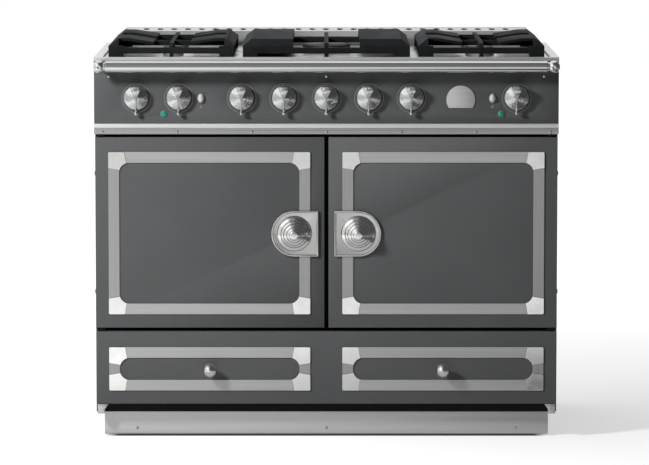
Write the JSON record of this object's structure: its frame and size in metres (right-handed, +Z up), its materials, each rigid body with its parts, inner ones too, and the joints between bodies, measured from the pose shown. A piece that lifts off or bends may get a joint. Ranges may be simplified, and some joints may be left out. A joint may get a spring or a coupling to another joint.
{
  "type": "dual fuel range cooker",
  "caption": "Wide range cooker with a gas hob under iron grates, a towel rail, a knob panel, side-hung oven doors and a full-width drawer.",
  "frame": {"origin": "on the floor, under the middle of the overall box", "axes": "+X to the right seen from the front, +Y to the rear, +Z up; the doors face -Y"},
  "size_m": [1.1, 0.67, 0.952],
  "materials": {
    "black_enamel": "gloss",
    "oven_enamel": "gloss",
    "casing": "satin",
    "galvanised": "satin",
    "stainless": "brushed",
    "polished_steel": "polished",
    "chrome": "polished",
    "cast_iron": "matt",
    "aluminium": "satin",
    "green_lens": "gloss",
    "brass": "satin",
    "black_plastic": "matt",
    "seal": "braided"
  },
  "bodies": {
    "cooker": {"base_frame": "galvanised", "side_panel_left": "casing", "side_panel_right": "casing", "rear_panel": "galvanised", "front_frame": "oven_enamel", "plinth": "stainless", "corner_brackets": "stainless", "worktop": "stainless", "burner_crowns": "aluminium", "burner_caps": "cast_iron", "oven_liner_left": "oven_enamel", "oven_liner_right": "oven_enamel", "oven_gaskets": "seal", "oven_racks": "chrome", "fan_covers": "oven_enamel", "fan_motors": "galvanised", "oven_elements": "polished_steel", "hinge_brackets": "polished_steel", "drawer_runners": "galvanised", "control_panel": "black_enamel", "panel_trim": "stainless", "front_screws": "stainless", "badge_plate": "stainless", "indicator_lamps": "green_lens", "gas_manifold": "aluminium", "gas_valves": "brass", "oven_controls": "black_plastic", "terminal_box": "black_plastic", "rail_tube": "chrome", "rail_ends": "chrome"},
    "door_left": {"door_left": "black_enamel", "door_left_inner_panel": "oven_enamel", "door_left_trim": "stainless", "door_left_plate": "polished_steel"},
    "door_right": {"door_right": "black_enamel", "door_right_inner_panel": "oven_enamel", "door_right_trim": "stainless", "door_right_plate": "polished_steel"},
    "door_left_handle": {"door_left_knob": "polished_steel"},
    "door_right_handle": {"door_right_knob": "polished_steel"},
    "drawer": {"drawer_front": "black_enamel", "drawer_box": "galvanised", "drawer_trim": "stainless", "drawer_knobs": "chrome"},
    "fan_left": {"fan_left": "aluminium"},
    "fan_right": {"fan_right": "aluminium"},
    "grate_left": {"grate_left": "cast_iron"},
    "grate_centre": {"grate_centre": "cast_iron"},
    "grate_right": {"grate_right": "cast_iron"},
    "button_left": {"button_left": "chrome"},
    "button_right": {"button_right": "chrome"},
    "feet": {"levelling_feet": "galvanised"},
    "thermostat_knob_left": {"thermostat_knob_left": "chrome"},
    "selector_knob": {"selector_knob": "chrome"},
    "thermostat_knob_right": {"thermostat_knob_right": "chrome"},
    "burner_knob_1": {"burner_knob_1": "chrome"},
    "burner_knob_2": {"burner_knob_2": "chrome"},
    "burner_knob_3": {"burner_knob_3": "chrome"},
    "burner_knob_4": {"burner_knob_4": "chrome"},
    "burner_knob_5": {"burner_knob_5": "chrome"}
  },
  "joints": [
    {"name": "door_left_hinge", "type": "hinge", "parent": "cooker", "child": "door_left", "pos_m": [-0.536, -0.258, 0.495], "axis": [0, 0, -1], "range_deg": [0, 110]},
    {"name": "door_right_hinge", "type": "hinge", "parent": "cooker", "child": "door_right", "pos_m": [0.536, -0.258, 0.495], "axis": [0, 0, 1], "range_deg": [0, 110]},
    {"name": "door_left_handle_turn", "type": "hinge", "parent": "door_left", "child": "door_left_handle", "pos_m": [-0.076, -0.2755, 0.493], "axis": [0, 1, 0], "range_deg": [0, 45], "stiffness_Nm_per_rad": 0.3},
    {"name": "door_right_handle_turn", "type": "hinge", "parent": "door_right", "child": "door_right_handle", "pos_m": [0.076, -0.2755, 0.493], "axis": [0, -1, 0], "range_deg": [0, 45], "stiffness_Nm_per_rad": 0.3},
    {"name": "drawer_slide", "type": "slide", "parent": "cooker", "child": "drawer", "axis": [0, -1, 0], "range_m": [0, 0.4]},
    {"name": "thermostat_knob_left_turn", "type": "hinge", "parent": "cooker", "child": "thermostat_knob_left", "pos_m": [-0.4499, -0.2715, 0.815], "axis": [0, 1, 0], "range_deg": [0, 300]},
    {"name": "selector_knob_turn", "type": "hinge", "parent": "cooker", "child": "selector_knob", "pos_m": [-0.3498, -0.2715, 0.815], "axis": [0, 1, 0], "range_deg": [0, 300]},
    {"name": "thermostat_knob_right_turn", "type": "hinge", "parent": "cooker", "child": "thermostat_knob_right", "pos_m": [0.4499, -0.2715, 0.815], "axis": [0, 1, 0], "range_deg": [0, 300]},
    {"name": "burner_knob_1_turn", "type": "hinge", "parent": "cooker", "child": "burner_knob_1", "pos_m": [-0.20075, -0.2715, 0.815], "axis": [0, -1, 0], "range_deg": [0, 210]},
    {"name": "burner_knob_2_turn", "type": "hinge", "parent": "cooker", "child": "burner_knob_2", "pos_m": [-0.10038, -0.2715, 0.815], "axis": [0, -1, 0], "range_deg": [0, 210]},
    {"name": "burner_knob_3_turn", "type": "hinge", "parent": "cooker", "child": "burner_knob_3", "pos_m": [0, -0.2715, 0.815], "axis": [0, -1, 0], "range_deg": [0, 210]},
    {"name": "burner_knob_4_turn", "type": "hinge", "parent": "cooker", "child": "burner_knob_4", "pos_m": [0.10038, -0.2715, 0.815], "axis": [0, -1, 0], "range_deg": [0, 210]},
    {"name": "burner_knob_5_turn", "type": "hinge", "parent": "cooker", "child": "burner_knob_5", "pos_m": [0.20075, -0.2715, 0.815], "axis": [0, -1, 0], "range_deg": [0, 210]},
    {"name": "button_left_press", "type": "slide", "parent": "cooker", "child": "button_left", "axis": [0, 1, 0], "range_m": [0, 0.003], "stiffness_N_per_m": 400},
    {"name": "button_right_press", "type": "slide", "parent": "cooker", "child": "button_right", "axis": [0, 1, 0], "range_m": [0, 0.003], "stiffness_N_per_m": 400},
    {"name": "grate_left_lift", "type": "slide", "parent": "cooker", "child": "grate_left", "axis": [0, 0, 1], "range_m": [0, 0.15]},
    {"name": "grate_centre_lift", "type": "slide", "parent": "cooker", "child": "grate_centre", "axis": [0, 0, 1], "range_m": [0, 0.15]},
    {"name": "grate_right_lift", "type": "slide", "parent": "cooker", "child": "grate_right", "axis": [0, 0, 1], "range_m": [0, 0.15]},
    {"name": "fan_left_spin", "type": "hinge", "parent": "cooker", "child": "fan_left", "pos_m": [-0.2765, 0.2, 0.495], "axis": [0, -1, 0], "continuous": true},
    {"name": "fan_right_spin", "type": "hinge", "parent": "cooker", "child": "fan_right", "pos_m": [0.2765, 0.2, 0.495], "axis": [0, -1, 0], "continuous": true},
    {"name": "feet_adjust", "type": "slide", "parent": "cooker", "child": "feet", "axis": [0, 0, -1], "range_m": [0, 0.025]}
  ]
}
